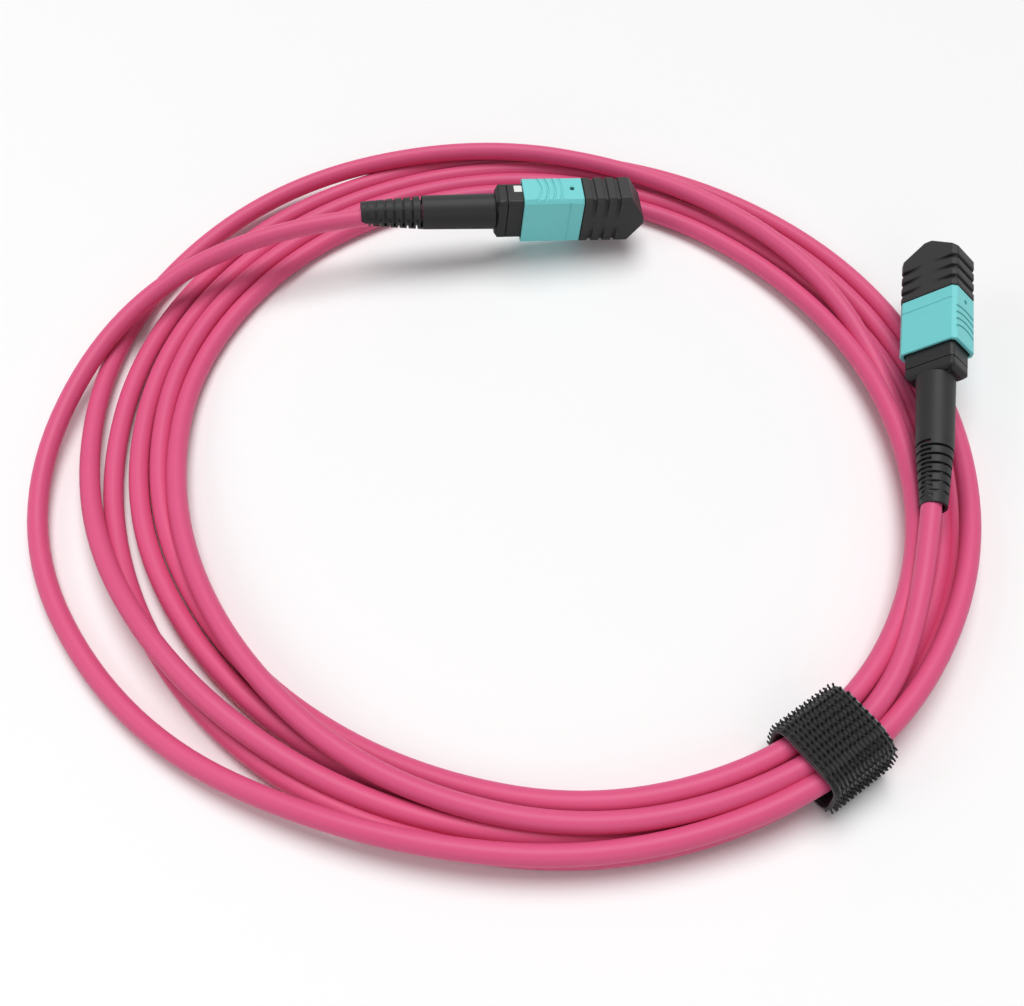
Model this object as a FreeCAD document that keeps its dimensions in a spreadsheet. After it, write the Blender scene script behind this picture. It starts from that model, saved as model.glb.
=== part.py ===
import FreeCAD, Part
import math
import os
import re

import Sketcher
from FreeCAD import Placement, Rotation, Vector

"""Coiled multi-fibre patch cable with a push-on plug at each end and a hook-and-loop tie.

Lengths are millimetres. The part lies on Z = 0 with the middle of its coil at the origin. Each plug is
built in a frame of its own, X forward out of the plug, Y across its wide side and Z across its narrow
side, with X = 0 on the rear face of its flange, and is then placed on its end of the cable.
"""

SIZES = {
    # cable and coil
    "cable_diameter": 3.8,
    "coil_long_radius": 72.4,
    "coil_short_radius": 66.8,
    "coil_bearing": 309,
    # where each boot tip lies, and how its plug points
    "first_tip_right": -37.5,
    "first_tip_back": 54.5,
    "first_tip_up": 13.6,
    "first_yaw": 6.7,
    "first_tilt": -4.6,
    "first_roll": 92.9,
    "second_tip_right": 71.4,
    "second_tip_back": -18.4,
    "second_tip_up": 9.4,
    "second_yaw": 80.2,
    "second_tilt": 5.8,
    "second_roll": -44.4,
    # strain relief boot
    "boot_length": 28.4,
    "boot_root_diameter": 7.5,
    "boot_waist_diameter": 7.1,
    "boot_tip_diameter": 5,
    "boot_ribbed_length": 13.7,
    "boot_front_bore": 6.3,
    "boot_front_bore_depth": 15.6,
    "boot_slot_width": 0.5,
    "boot_slot_pitch": 1.9,
    "boot_slot_floor": 0.4,
    "boot_slot_lap": 1.1,
    "boot_slot_margin": 1,
    # crimp
    "stem_diameter": 4.6,
    "stem_bore": 3.4,
    "stem_length": 9.4,
    "yarn_thickness": 0.3,
    "crimp_wall": 0.3,
    "crimp_length": 14.6,
    "crimp_neck_length": 4.6,
    "crimp_cone_length": 0.6,
    "crimp_setback": 0.2,
    "jacket_gap": 0.4,
    # rear body
    "flange_thickness": 2.5,
    "flange_bevel": 0.7,
    "body_width": 10.6,
    "body_height": 6.2,
    "body_corner": 0.6,
    "post_length": 6.1,
    # coupling sleeve
    "sleeve_start": 5.8,
    "sleeve_length": 12.8,
    "sleeve_width": 12.4,
    "sleeve_height": 7.7,
    "sleeve_corner": 0.8,
    "sleeve_side_wall": 0.65,
    "sleeve_flat_wall": 0.5,
    "sleeve_inner_corner": 0.6,
    "sleeve_stop_depth": 1.3,
    "sleeve_stop_length": 2.2,
    "sleeve_stop_width": 2.4,
    "sleeve_line_place": 2.9,
    "sleeve_line_width": 0.25,
    "sleeve_line_depth": 0.12,
    "dot_diameter": 1,
    "dot_place": 2.3,
    "grip_middle": 15,
    "grip_radius": 6,
    "grip_width": 0.45,
    "grip_pitch": 1.5,
    "grip_depth": 0.2,
    # inner housing
    "waist_width": 8.2,
    "rear_shoulder": 3.2,
    "spring_bay_length": 5,
    "nose_length": 5.7,
    "nose_width": 9.4,
    "nose_height": 5.6,
    "nose_corner": 0.4,
    "lug_length": 1.2,
    "key_width": 2.5,
    "key_height": 0.45,
    "key_setback": 2.6,
    "latch_length": 2.2,
    "latch_depth": 0.8,
    "latch_setback": 2.6,
    "bay_width": 7.2,
    "bay_height": 4.7,
    # ferrule
    "ferrule_width": 6.4,
    "ferrule_height": 2.5,
    "ferrule_length": 7.6,
    "ferrule_proud": 0.6,
    "ferrule_collar_height": 3.2,
    "ferrule_collar_length": 2,
    "guide_hole_diameter": 0.7,
    "guide_hole_pitch": 4.6,
    "window_length": 2.4,
    "window_width": 3.4,
    "window_depth": 0.6,
    "ribbon_width": 3,
    "ribbon_thickness": 0.6,
    "ribbon_sleeve_wall": 0.25,
    "ribbon_sleeve_length": 4,
    "spacer_length": 2,
    "ferrule_spring_diameter": 4.4,
    "ferrule_spring_wire": 0.45,
    "ferrule_spring_turns": 5,
    "coupling_spring_diameter": 1.2,
    "coupling_spring_wire": 0.25,
    "coupling_spring_turns": 5,
    # dust cap
    "cap_gap": 0.2,
    "cap_length": 10,
    "cap_gable": 3.4,
    "cap_tip_width": 1.6,
    "cap_width": 12.6,
    "cap_height": 7.9,
    "cap_corner": 0.9,
    "cap_cavity_spare": 0.6,
    "groove_width": 0.9,
    "groove_first": 2.1,
    "groove_pitch": 2.6,
    "groove_depth": 0.5,
    "groove_crown": 0.2,
    # hook-and-loop tie
    "tie_bearing": 306.5,
    "tie_reach": 79.25,
    "tie_middle_height": 5.3,
    "tie_inner_width": 13.4,
    "tie_inner_height": 8.4,
    "tie_inner_corner": 2.2,
    "tie_length": 13.5,
    "tie_thickness": 1.05,
    "tie_tail_length": 9,
    "tie_tail_thickness": 0.8,
    # fits
    "running_clearance": 0.1,
    "loose_clearance": 0.25,
    "thread_clearance": 0.05,
}

# The coil runs anticlockwise from the first plug to the second, six times through the tie. Each row is
# one turn, counted from the tie, with a pair for each twelfth of a turn: how many cable diameters the
# middle of the cable lies outside the rim of the coil, and how many diameters above the surface.
STATIONS_PER_TURN = 12
FIRST_TURN_FROM = 7
TURNS = [
    [(5.45, 1.2), (7.7, 0), (6.2, 0), (3.75, 0.9), (2.9, 0.9)],
    [(2.95, 1.4), (2.85, 0.95), (3.4, 0.35), (4.15, 0), (4.15, 0), (3.95, 0),
     (3.8, 0), (3.7, 0), (3.6, 0), (3.6, 0), (3.2, 0), (2.85, 0)],
    [(2.65, 0.45), (2.65, 0), (2.6, 0), (3.05, 0), (3.15, 0), (3, 0),
     (2.65, 0), (2.6, 0), (2.35, 0), (1.8, 0), (1.4, 0), (1.15, 0)],
    [(0.8, 0.45), (0.85, 0), (0.75, 0.1), (1.75, 1.25), (2.65, 1), (3.5, 1.15),
     (5.05, 0.4), (5.5, 0), (4.9, 0.4), (3.5, 1.35), (2.4, 0.4), (2, 0.2)],
    [(1.72, 0.45), (1.8, 0), (1.75, 0), (1.75, 0), (2.15, 0), (2.05, 0),
     (1.65, 0), (1.55, 0.3), (1.3, 0), (0.75, 0), (0.35, 0.1), (0.85, 0.9)],
    [(1.05, 1.35), (0.4, 0.85), (0.15, 0.8), (0.5, 0.2), (1.1, 0), (1.1, 0),
     (0.6, 0), (0.55, 0), (0.3, 0.6), (0.7, 1.1), (1.5, 1.15), (1.85, 1)],
    [(2.1, 1.5)],
]
STRAIGHT_OUT = {"first": 14, "second": 16}
ARC_SHARE = 0.45
SPRING_STEPS = 8
# slots on the nearer side of each boot, with one fewer between them on the other side
BOOT_SLOTS = 7
SLEEVE_GRIPS = 4
CAP_GROOVES = 3
# how far a cut runs on past the piece
SPARE = "1"

doc = FreeCAD.newDocument("patch_cable")
sheet = doc.addObject("Spreadsheet::Sheet", "Sizes")
for row, (alias, number) in enumerate(SIZES.items(), start=1):
    sheet.set(f"A{row}", alias)
    sheet.set(f"B{row}", str(number))
    sheet.setAlias(f"B{row}", alias)
doc.recompute()

ALIAS = re.compile(r"\b(" + "|".join(sorted(SIZES, key=len, reverse=True)) + r")\b")


def bind(text):
    """The same expression with each size read from the sheet."""
    return ALIAS.sub(r"Sizes.\1", text)


def value(text):
    """The number that an expression of sizes has now."""
    return float(sheet.evalExpression(text))


# sketch helpers


def hold(sketch, geometry, vertex, axis, text):
    """Holds one coordinate of a sketch vertex at an expression of sizes."""
    number = value(text)
    if abs(number) < 1e-9:
        line = -2 if axis == "X" else -1
        sketch.addConstraint(Sketcher.Constraint("PointOnObject", geometry, vertex, line))
        return
    ends = (-1, 1, geometry, vertex) if number > 0 else (geometry, vertex, -1, 1)
    index = sketch.addConstraint(Sketcher.Constraint("Distance" + axis, *ends, abs(number)))
    sketch.setExpression(f"Constraints[{index}]", bind(text if number > 0 else f"-({text})"))


def outline(sketch, corners):
    """Closes straight lines through corners, each a pair of expressions."""
    points = [Vector(value(u), value(v), 0) for u, v in corners]
    first = sketch.GeometryCount
    count = len(points)
    for start, end in zip(points, points[1:] + points[:1]):
        sketch.addGeometry(Part.LineSegment(start, end), False)
    for i in range(count):
        nearest = first + (i + 1) % count
        sketch.addConstraint(Sketcher.Constraint("Coincident", first + i, 2, nearest, 1))
    for i, (u, v) in enumerate(corners):
        hold(sketch, first + i, 1, "X", u)
        hold(sketch, first + i, 1, "Y", v)


def circle(sketch, u, v, radius):
    """Adds a circle whose middle and radius are expressions."""
    middle = Vector(value(u), value(v), 0)
    index = sketch.addGeometry(Part.Circle(middle, Vector(0, 0, 1), value(radius)), False)
    hold(sketch, index, 3, "X", u)
    hold(sketch, index, 3, "Y", v)
    place = sketch.addConstraint(Sketcher.Constraint("Radius", index, value(radius)))
    sketch.setExpression(f"Constraints[{place}]", bind(radius))


def rectangle(width, height, u="0", v="0"):
    """Corners of a rectangle about (u, v)."""
    return [(f"{u} + ({a}) * ({width}) / 2", f"{v} + ({b}) * ({height}) / 2")
            for a, b in ((-1, -1), (1, -1), (1, 1), (-1, 1))]


def bevelled(width, height, corner):
    """Corners of a rectangle about the origin with its four corners cut off."""
    corners = []
    for a, b, lead in ((-1, -1, 0), (1, -1, 1), (1, 1, 0), (-1, 1, 1)):
        side = (f"({a}) * (({width}) / 2 - ({corner}))", f"({b}) * ({height}) / 2")
        end = (f"({a}) * ({width}) / 2", f"({b}) * (({height}) / 2 - ({corner}))")
        corners += [side, end] if lead else [end, side]
    return corners


# feature helpers


def new_body(label):
    body = doc.addObject("PartDesign::Body", label)
    body.Label = label
    return body


def origin_part(body, role):
    return next(item for item in body.Origin.OriginFeatures if item.Role == role)


def new_sketch(body, name, role, offset="0"):
    """A sketch on one of the body's own planes, moved along its normal by an expression."""
    sketch = body.newObject("Sketcher::SketchObject", name)
    sketch.AttachmentSupport = (origin_part(body, role), [""])
    sketch.MapMode = "FlatFace"
    sketch.setExpression("AttachmentOffset.Base.z", bind(offset))
    return sketch


def feature(body, kind, name, sketch, length=None, midplane=False, reverse=False):
    item = body.newObject("PartDesign::" + kind, name)
    item.Profile = sketch
    if length is None:
        item.Type = "ThroughAll"
    else:
        item.setExpression("Length", bind(length))
    item.Midplane = midplane
    item.Reversed = reverse
    sketch.Visibility = False
    doc.recompute()
    return item


def slab(body, name, start, end, *loops):
    """Adds material between two stations along the plug."""
    sketch = new_sketch(body, name + "_section", "YZ_Plane", start)
    for corners in loops:
        outline(sketch, corners)
    return feature(body, "Pad", name, sketch, f"({end}) - ({start})")


def hollow(body, name, start, end, *loops):
    """Cuts material between two stations along the plug."""
    sketch = new_sketch(body, name + "_section", "YZ_Plane", end)
    for corners in loops:
        outline(sketch, corners)
    return feature(body, "Pocket", name, sketch, f"({end}) - ({start})")


def bore(body, name, start, end, *rings):
    """Cuts round holes between two stations along the plug; each ring is u, v, radius."""
    sketch = new_sketch(body, name + "_section", "YZ_Plane", end)
    for ring in rings:
        circle(sketch, *ring)
    return feature(body, "Pocket", name, sketch, f"({end}) - ({start})")


def turned(body, name, corners):
    """Turns an outline of (along, radius) pairs about the plug's axis."""
    sketch = new_sketch(body, name + "_section", "XY_Plane")
    outline(sketch, corners)
    item = body.newObject("PartDesign::Revolution", name)
    item.Profile = sketch
    item.ReferenceAxis = (sketch, ["H_Axis"])
    item.Angle = 360
    sketch.Visibility = False
    doc.recompute()
    return item


def loft(body, name, first, last):
    """Adds a ruled transition between two sections."""
    item = body.newObject("PartDesign::AdditiveLoft", name)
    item.Profile = first
    item.Sections = [last]
    item.Ruled = True
    for sketch in (first, last):
        sketch.Visibility = False
    doc.recompute()
    return item


def rounded(sketch, width, height, radius):
    """Closes a rectangle about the origin whose corners are arcs."""
    reach = value(radius)
    u = f"({width}) / 2 - ({radius})"
    v = f"({height}) / 2 - ({radius})"
    first = sketch.GeometryCount
    signs = ((1, 1), (-1, 1), (-1, -1), (1, -1))
    middles = [Vector(a * value(u), b * value(v), 0) for a, b in signs]
    for turn, middle in enumerate(middles):
        start = turn * math.pi / 2
        arc = Part.ArcOfCircle(Part.Circle(middle, Vector(0, 0, 1), reach), start, start + math.pi / 2)
        leave = Vector(math.cos(start + math.pi / 2), math.sin(start + math.pi / 2), 0) * reach
        sketch.addGeometry(arc, False)
        sketch.addGeometry(Part.LineSegment(middle + leave, middles[(turn + 1) % 4] + leave), False)
    for turn, (a, b) in enumerate(signs):
        arc = first + 2 * turn
        hold(sketch, arc, 3, "X", f"({a}) * ({u})")
        hold(sketch, arc, 3, "Y", f"({b}) * ({v})")
        place = sketch.addConstraint(Sketcher.Constraint("Radius", arc, reach))
        sketch.setExpression(f"Constraints[{place}]", bind(radius))
        sketch.addConstraint(Sketcher.Constraint("Tangent", arc, 2, arc + 1, 1))
        sketch.addConstraint(Sketcher.Constraint("Tangent", arc + 1, 2, first + (2 * turn + 2) % 8, 1))


# stations along the plug, as expressions

SLEEVE_END = "sleeve_start + sleeve_length"
SPRING_BAY = "sleeve_start + rear_shoulder"
SLEEVE_STOP = f"{SPRING_BAY} + spring_bay_length + thread_clearance"
LUG = f"{SLEEVE_STOP} + sleeve_stop_length + thread_clearance"
NOSE = f"{LUG} + lug_length"
NOSE_END = f"{SLEEVE_END} + nose_length"
FERRULE_END = f"{NOSE_END} + ferrule_proud"
FERRULE_START = f"{FERRULE_END} - ferrule_length"
COLLAR_END = f"{FERRULE_START} + ferrule_collar_length"
SHOULDER = f"{COLLAR_END} + thread_clearance"
SPACER_START = f"{FERRULE_START} - spacer_length"
POST_END = "flange_thickness + post_length"
STEM_END = "-stem_length"
JACKET_END = "-(stem_length + jacket_gap)"
CAP_START = f"{SLEEVE_END} + cap_gap"
CAP_EAVE = f"{CAP_START} + cap_length"
CAP_TIP = f"{CAP_EAVE} + cap_gable"
CABLE_BORE = "cable_diameter / 2 + running_clearance"
YARN_BORE = "stem_diameter / 2 + thread_clearance"
CRIMP_BORE = f"{YARN_BORE} + yarn_thickness + thread_clearance"


def make_dust_cap(label):
    body = new_body(label)
    slab(body, label + "_block", CAP_START, CAP_TIP, bevelled("cap_width", "cap_height", "cap_corner"))
    gable = new_sketch(body, label + "_gable_section", "XY_Plane")
    for side in ("1", "-1"):
        outline(gable, [
            (CAP_EAVE, f"{side} * (cap_width / 2)"),
            (CAP_TIP, f"{side} * (cap_tip_width / 2)"),
            (f"{CAP_TIP} + {SPARE}", f"{side} * (cap_tip_width / 2)"),
            (f"{CAP_TIP} + {SPARE}", f"{side} * (cap_width / 2 + {SPARE})"),
            (CAP_EAVE, f"{side} * (cap_width / 2 + {SPARE})"),
        ])
    feature(body, "Pocket", label + "_gable", gable, midplane=True)
    for number in range(CAP_GROOVES):
        start = f"{CAP_START} + groove_first + {number} * groove_pitch - groove_width / 2"
        sketch = new_sketch(body, f"{label}_groove_{number}_section", "YZ_Plane", f"{start} + groove_width")
        outline(sketch, rectangle(f"cap_width + {SPARE}", f"cap_height + {SPARE}"))
        side = "cap_width / 2 - groove_depth"
        edge = "cap_height / 2 - groove_depth - cap_corner / 2"
        crown = "cap_height / 2 + groove_crown"
        outline(sketch, [
            (f"-({side})", f"-({edge})"), ("0", f"-({crown})"), (side, f"-({edge})"),
            (side, edge), ("0", crown), (f"-({side})", edge),
        ])
        feature(body, "Pocket", f"{label}_groove_{number}", sketch, "groove_width")
    fit_width = "nose_width + 2 * running_clearance"
    fit_height = "nose_height + 2 * running_clearance"
    depth = f"{FERRULE_END} + cap_cavity_spare"
    hollow(body, label + "_cavity", CAP_START, depth, rectangle(fit_width, fit_height))
    slot_height = "2 * (key_height + running_clearance)"
    hollow(body, label + "_key_slot", CAP_START, f"{NOSE_END} - key_setback + loose_clearance",
           rectangle("key_width + 2 * running_clearance", slot_height, "0", f"({fit_height}) / 2"))
    return body


def make_coupling_sleeve(label):
    body = new_body(label)
    slab(body, label + "_shell", "sleeve_start", SLEEVE_END,
         bevelled("sleeve_width", "sleeve_height", "sleeve_corner"))
    inner_width = "sleeve_width - 2 * sleeve_side_wall"
    inner_height = "sleeve_height - 2 * sleeve_flat_wall"
    hollow(body, label + "_inside", "sleeve_start", SLEEVE_END,
           bevelled(inner_width, inner_height, "sleeve_inner_corner"))
    middle = f"({inner_width}) / 2 + sleeve_side_wall / 2 - sleeve_stop_depth / 2"
    width = "sleeve_stop_depth + sleeve_side_wall"
    slab(body, label + "_stops", SLEEVE_STOP, f"{SLEEVE_STOP} + sleeve_stop_length",
         rectangle(width, "sleeve_stop_width", middle),
         rectangle(width, "sleeve_stop_width", f"-({middle})"))
    for name, side in (("near", -1), ("far", 1)):
        grip = new_sketch(body, f"{label}_grip_{name}_section", "XZ_Plane", f"({side}) * sleeve_width / 2")
        middle = f"{SLEEVE_END} - grip_middle"
        for number in range(SLEEVE_GRIPS):
            for edge in (-1, 1):
                circle(grip, middle, "0", f"grip_radius + {number} * grip_pitch + ({edge}) * grip_width / 2")
        feature(body, "Pocket", f"{label}_grip_{name}", grip, "grip_depth", reverse=side < 0)
        line = new_sketch(body, f"{label}_line_{name}_section", "XY_Plane", f"({side}) * sleeve_height / 2")
        outline(line, rectangle("sleeve_line_width", "sleeve_width", f"{SLEEVE_END} - sleeve_line_place"))
        feature(body, "Pocket", f"{label}_line_{name}", line, "sleeve_line_depth", reverse=side < 0)
    dot = new_sketch(body, label + "_dot_section", "XZ_Plane")
    circle(dot, f"{SLEEVE_END} - dot_place", "0", "dot_diameter / 2")
    feature(body, "Pocket", label + "_dot", dot, midplane=True)
    return body


def make_inner_housing(label):
    body = new_body(label)
    section = bevelled("body_width", "body_height", "body_corner")
    slab(body, label + "_rear", "flange_thickness + thread_clearance", SPRING_BAY, section)
    slab(body, label + "_waist", SPRING_BAY, NOSE, rectangle("waist_width", "body_height"))
    slab(body, label + "_lugs", LUG, NOSE, rectangle("body_width", "sleeve_stop_width"))
    slab(body, label + "_nose", NOSE, NOSE_END, bevelled("nose_width", "nose_height", "nose_corner"))
    slab(body, label + "_key", NOSE, f"{NOSE_END} - key_setback",
         rectangle("key_width", "2 * key_height", "0", "nose_height / 2"))
    hollow(body, label + "_latches", f"{NOSE_END} - latch_setback - latch_length", f"{NOSE_END} - latch_setback",
           rectangle("2 * latch_depth", f"nose_height + {SPARE}", "nose_width / 2"),
           rectangle("2 * latch_depth", f"nose_height + {SPARE}", "-nose_width / 2"))
    hollow(body, label + "_spring_bay", "flange_thickness", SPACER_START, rectangle("bay_width", "bay_height"))
    hollow(body, label + "_collar_bay", SPACER_START, SHOULDER,
           rectangle("bay_width", "ferrule_collar_height + 2 * running_clearance"))
    hollow(body, label + "_window", SHOULDER, NOSE_END,
           rectangle("ferrule_width + 2 * running_clearance", "ferrule_height + 2 * running_clearance"))
    return body


def make_back_post(label):
    body = new_body(label)
    slab(body, label + "_flange", "flange_bevel", "flange_thickness",
         bevelled("body_width", "body_height", "body_corner"))
    rear = new_sketch(body, label + "_rear_section", "YZ_Plane")
    outline(rear, bevelled("body_width - 2 * flange_bevel", "body_height - 2 * flange_bevel", "body_corner"))
    front = new_sketch(body, label + "_front_section", "YZ_Plane", "flange_bevel")
    outline(front, bevelled("body_width", "body_height", "body_corner"))
    loft(body, label + "_rear_bevel", rear, front)
    slab(body, label + "_post", "flange_thickness", POST_END,
         rectangle("bay_width - 2 * running_clearance", "bay_height - 2 * running_clearance"))
    turned(body, label + "_stem", [
        (STEM_END, "stem_bore / 2"), (STEM_END, "stem_diameter / 2"),
        ("flange_thickness", "stem_diameter / 2"), ("flange_thickness", "stem_bore / 2"),
    ])
    bore(body, label + "_bore", STEM_END, POST_END, ("0", "0", "stem_bore / 2"))
    return body


def make_strain_relief_boot(label):
    body = new_body(label)
    tip = "-boot_length"
    waist = f"{tip} + boot_ribbed_length"
    step = "-boot_front_bore_depth"
    turned(body, label + "_wall", [
        ("0", "boot_front_bore / 2"), ("0", "boot_root_diameter / 2"), (waist, "boot_waist_diameter / 2"),
        (tip, "boot_tip_diameter / 2"), (tip, CABLE_BORE), (step, CABLE_BORE),
        (step, "boot_front_bore / 2"),
    ])
    # each slot goes a lap over half round, with flats round the bore as its floor
    floor = f"({CABLE_BORE} + boot_slot_floor)"
    middle = f"{floor} * tan(30 deg)"
    corner = f"{floor} / cos(30 deg)"
    ending = f"({corner} - boot_slot_lap * tan(30 deg))"
    for name, side, lead in (("near", 1, 0), ("far", -1, 1)):
        for number in range(BOOT_SLOTS - lead):
            start = f"{tip} + boot_slot_margin + ({number} + {lead} / 2) * boot_slot_pitch"
            hollow(body, f"{label}_slot_{name}_{number}", start, f"{start} + boot_slot_width", [
                (f"{-side} * boot_slot_lap", ending), ("0", corner), (f"{side} * {floor}", middle),
                (f"{side} * {floor}", f"-{middle}"), ("0", f"-{corner}"),
                (f"{-side} * boot_slot_lap", f"-{ending}"),
                (f"{-side} * boot_slot_lap", "-boot_root_diameter"),
                (f"{side} * boot_root_diameter", "-boot_root_diameter"),
                (f"{side} * boot_root_diameter", "boot_root_diameter"),
                (f"{-side} * boot_slot_lap", "boot_root_diameter"),
            ])
    return body


def make_crimp_ring(label):
    body = new_body(label)
    start = "-crimp_setback"
    step = "-(crimp_length - crimp_neck_length)"
    cone = f"{step} - crimp_cone_length"
    outer = f"{CRIMP_BORE} + crimp_wall"
    neck = "cable_diameter / 2 + thread_clearance"
    turned(body, label + "_wall", [
        (start, CRIMP_BORE), (start, outer), (step, outer), (cone, f"{neck} + crimp_wall"),
        ("-crimp_length", f"{neck} + crimp_wall"), ("-crimp_length", neck), (cone, neck),
        (step, CRIMP_BORE),
    ])
    return body


def make_yarn_sleeve(label):
    body = new_body(label)
    start = "-crimp_setback"
    turned(body, label + "_wall", [
        (start, YARN_BORE), (start, f"{YARN_BORE} + yarn_thickness"),
        (STEM_END, f"{YARN_BORE} + yarn_thickness"), (STEM_END, YARN_BORE),
    ])
    return body


def make_ferrule(label):
    body = new_body(label)
    slab(body, label + "_collar", FERRULE_START, COLLAR_END,
         rectangle("bay_width - 2 * running_clearance", "ferrule_collar_height"))
    slab(body, label + "_block", COLLAR_END, FERRULE_END, rectangle("ferrule_width", "ferrule_height"))
    bore(body, label + "_guide_holes", FERRULE_START, FERRULE_END,
         ("guide_hole_pitch / 2", "0", "guide_hole_diameter / 2"),
         ("-guide_hole_pitch / 2", "0", "guide_hole_diameter / 2"))
    window = new_sketch(body, label + "_window_section", "XY_Plane", "ferrule_height / 2")
    outline(window, rectangle("window_length", "window_width", f"{COLLAR_END} + window_length"))
    feature(body, "Pocket", label + "_window", window, "window_depth")
    wall = "2 * (ribbon_sleeve_wall + thread_clearance + thread_clearance)"
    hollow(body, label + "_rear_pocket", FERRULE_START, f"{COLLAR_END} + thread_clearance",
           rectangle(f"ribbon_width + {wall}", f"ribbon_thickness + {wall}"))
    return body


def make_ribbon_sleeve(label):
    body = new_body(label)
    end = COLLAR_END
    start = f"{COLLAR_END} - ribbon_sleeve_length"
    wall = "2 * (ribbon_sleeve_wall + thread_clearance)"
    slab(body, label + "_wall", start, end, rectangle(f"ribbon_width + {wall}", f"ribbon_thickness + {wall}"))
    hollow(body, label + "_slot", start, end,
           rectangle("ribbon_width + 2 * thread_clearance", "ribbon_thickness + 2 * thread_clearance"))
    return body


def make_ferrule_spacer(label):
    body = new_body(label)
    wall = "2 * (ribbon_sleeve_wall + thread_clearance + running_clearance)"
    slab(body, label + "_plate", SPACER_START, FERRULE_START,
         rectangle("bay_width - 2 * running_clearance", "ferrule_collar_height"))
    hollow(body, label + "_slot", SPACER_START, FERRULE_START,
           rectangle(f"ribbon_width + {wall}", f"ribbon_thickness + {wall}"))
    return body


def make_fibre_ribbon(label):
    body = new_body(label)
    slab(body, label + "_strip", f"{JACKET_END} + thread_clearance", COLLAR_END,
         rectangle("ribbon_width", "ribbon_thickness"))
    return body


def make_spring(label, start, end, diameter, wire, turns, across="0"):
    """A square-wire compression spring along the plug, moved across it by an expression."""
    thick = value(wire)
    radius = value(f"({diameter} - {wire}) / 2")
    rise = value(f"({end}) - ({start}) - {wire}")
    foot = Vector(value(f"{start} + {wire} / 2"), value(across), 0)
    steps = round(value(turns) * SPRING_STEPS)
    points = []
    for step in range(steps + 1):
        angle = 2 * math.pi * step / SPRING_STEPS
        around = Vector(rise * step / steps, radius * math.cos(angle), radius * math.sin(angle))
        points.append(foot + around)
    forward = points[1] - points[0]
    outward = Vector(0, 1, 0)
    lean = forward.cross(outward).normalize()
    corners = [points[0] + outward * (a * thick / 2) + lean * (b * thick / 2)
               for a, b in ((-1, -1), (1, -1), (1, 1), (-1, 1), (-1, -1))]
    coil = Part.makePolygon(points).makePipeShell([Part.makePolygon(corners)], True, False, 1)
    spring = doc.addObject("Part::Feature", label)
    spring.Label = label
    spring.Shape = coil
    return spring


def make_ferrule_spring(label):
    return make_spring(label, f"{POST_END} + thread_clearance", f"{SPACER_START} - thread_clearance",
                       "ferrule_spring_diameter", "ferrule_spring_wire", "ferrule_spring_turns")


def make_coupling_spring(label, side):
    across = f"({side}) * (waist_width / 2 + coupling_spring_diameter / 2 + thread_clearance)"
    return make_spring(label, f"{SPRING_BAY} + thread_clearance", f"{SLEEVE_STOP} - thread_clearance",
                       "coupling_spring_diameter", "coupling_spring_wire", "coupling_spring_turns", across)


PLUG_PIECES = {
    "strain_relief_boot": make_strain_relief_boot,
    "crimp_ring": make_crimp_ring,
    "yarn_sleeve": make_yarn_sleeve,
    "back_post": make_back_post,
    "inner_housing": make_inner_housing,
    "coupling_spring_left": lambda label: make_coupling_spring(label, 1),
    "coupling_spring_right": lambda label: make_coupling_spring(label, -1),
    "coupling_sleeve": make_coupling_sleeve,
    "ferrule_spring": make_ferrule_spring,
    "ferrule_spacer": make_ferrule_spacer,
    "ferrule": make_ferrule,
    "ribbon_sleeve": make_ribbon_sleeve,
    "fibre_ribbon": make_fibre_ribbon,
    "dust_cap": make_dust_cap,
}


def tip_of(end):
    """Where the boot tip of one end lies."""
    return Vector(*(value(f"{end}_tip_{way}") for way in ("right", "back", "up")))


def turn_of(end):
    """How the plug of one end is turned."""
    yaw = Rotation(Vector(0, 0, 1), value(f"{end}_yaw"))
    tilt = Rotation(Vector(0, 1, 0), -value(f"{end}_tilt"))
    roll = Rotation(Vector(1, 0, 0), value(f"{end}_roll"))
    return yaw * tilt * roll


def make_plug(end):
    """All pieces of one plug, placed on its end of the cable."""
    forward = turn_of(end).multVec(Vector(1, 0, 0))
    place = Placement(tip_of(end) + forward * value("boot_length"), turn_of(end))
    pieces = []
    for name, make in PLUG_PIECES.items():
        piece = make(f"{end}_{name}")
        piece.Placement = place
        pieces.append(piece)
    return pieces


def make_tie(label):
    body = new_body(label)
    outer_width = "tie_inner_width + 2 * tie_thickness"
    outer_height = "tie_inner_height + 2 * tie_thickness"
    sketch = new_sketch(body, label + "_ring_section", "YZ_Plane")
    rounded(sketch, outer_width, outer_height, "tie_inner_corner + tie_thickness")
    rounded(sketch, "tie_inner_width", "tie_inner_height", "tie_inner_corner")
    feature(body, "Pad", label + "_ring", sketch, "tie_length", midplane=True)
    tail = new_sketch(body, label + "_tail_section", "YZ_Plane")
    outline(tail, rectangle("tie_tail_length", "2 * tie_tail_thickness", "0", f"({outer_height}) / 2"))
    feature(body, "Pad", label + "_tail", tail, "tie_length", midplane=True)
    bearing = math.radians(value("tie_bearing"))
    reach = value("tie_reach")
    middle = Vector(reach * math.cos(bearing), reach * math.sin(bearing), value("tie_middle_height"))
    along = Rotation(Vector(0, 0, 1), value("tie_bearing") + 90)
    body.Placement = Placement(middle, along)
    return body


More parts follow.
